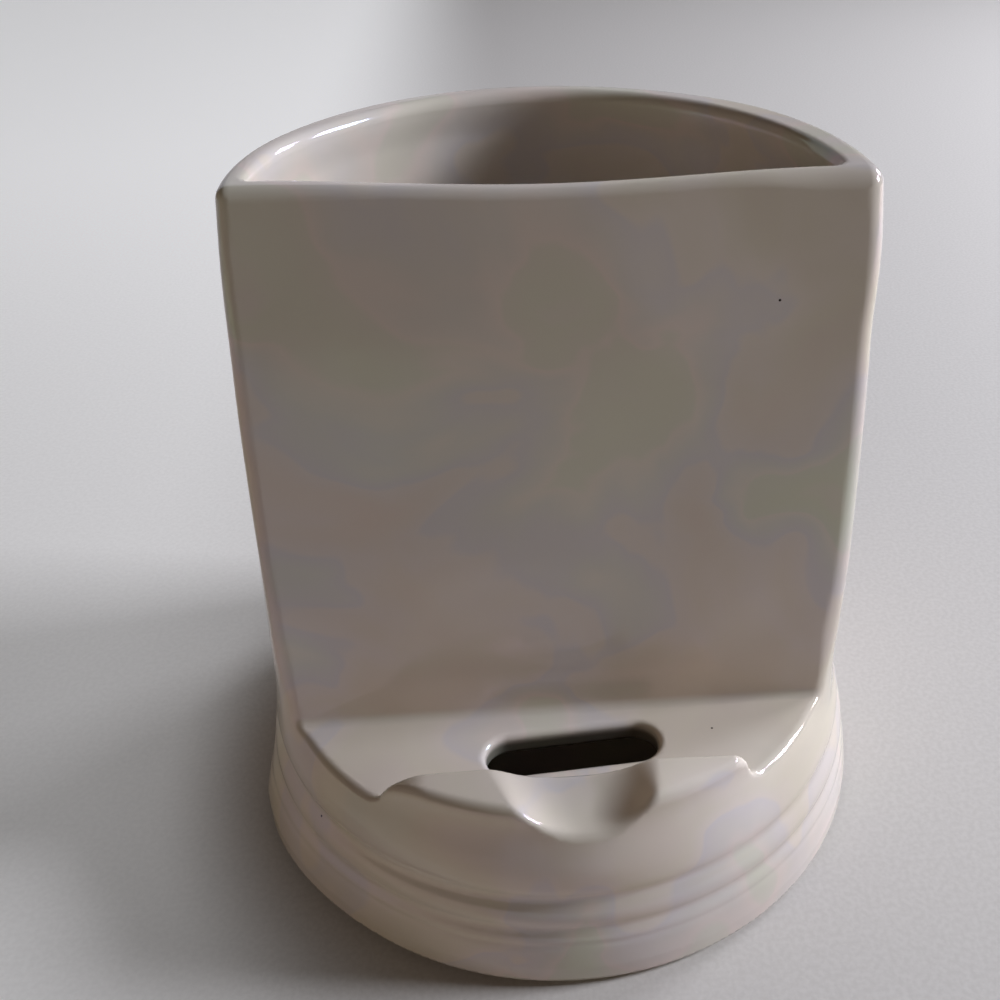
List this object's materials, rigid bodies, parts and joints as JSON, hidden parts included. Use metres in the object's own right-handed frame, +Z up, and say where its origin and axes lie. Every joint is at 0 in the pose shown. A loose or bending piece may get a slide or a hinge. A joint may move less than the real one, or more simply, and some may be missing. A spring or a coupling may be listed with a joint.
{
  "type": "utensil holder",
  "caption": "Round glazed ceramic utensil crock with a flat leaning panel, a ledge with a cable slot and a raised lip that props a tablet, a ribbed base and soft foot pads.",
  "frame": {"origin": "on the table, under the middle of the round base, at the underside of the foot pads", "axes": "+Z up, +Y away from the flat panel towards the round back, +X to the right of someone facing the panel"},
  "size_m": [0.17, 0.17, 0.175],
  "materials": {
    "pearl_glaze": "glossy off-white glaze with a faint pearl lustre",
    "foot_pad": "matt soft silicone"
  },
  "bodies": {
    "root": {"crock_body": "pearl_glaze", "foot_pad_back_left": "foot_pad", "foot_pad_back_right": "foot_pad", "foot_pad_front_left": "foot_pad", "foot_pad_front_right": "foot_pad"}
  },
  "joints": []
}
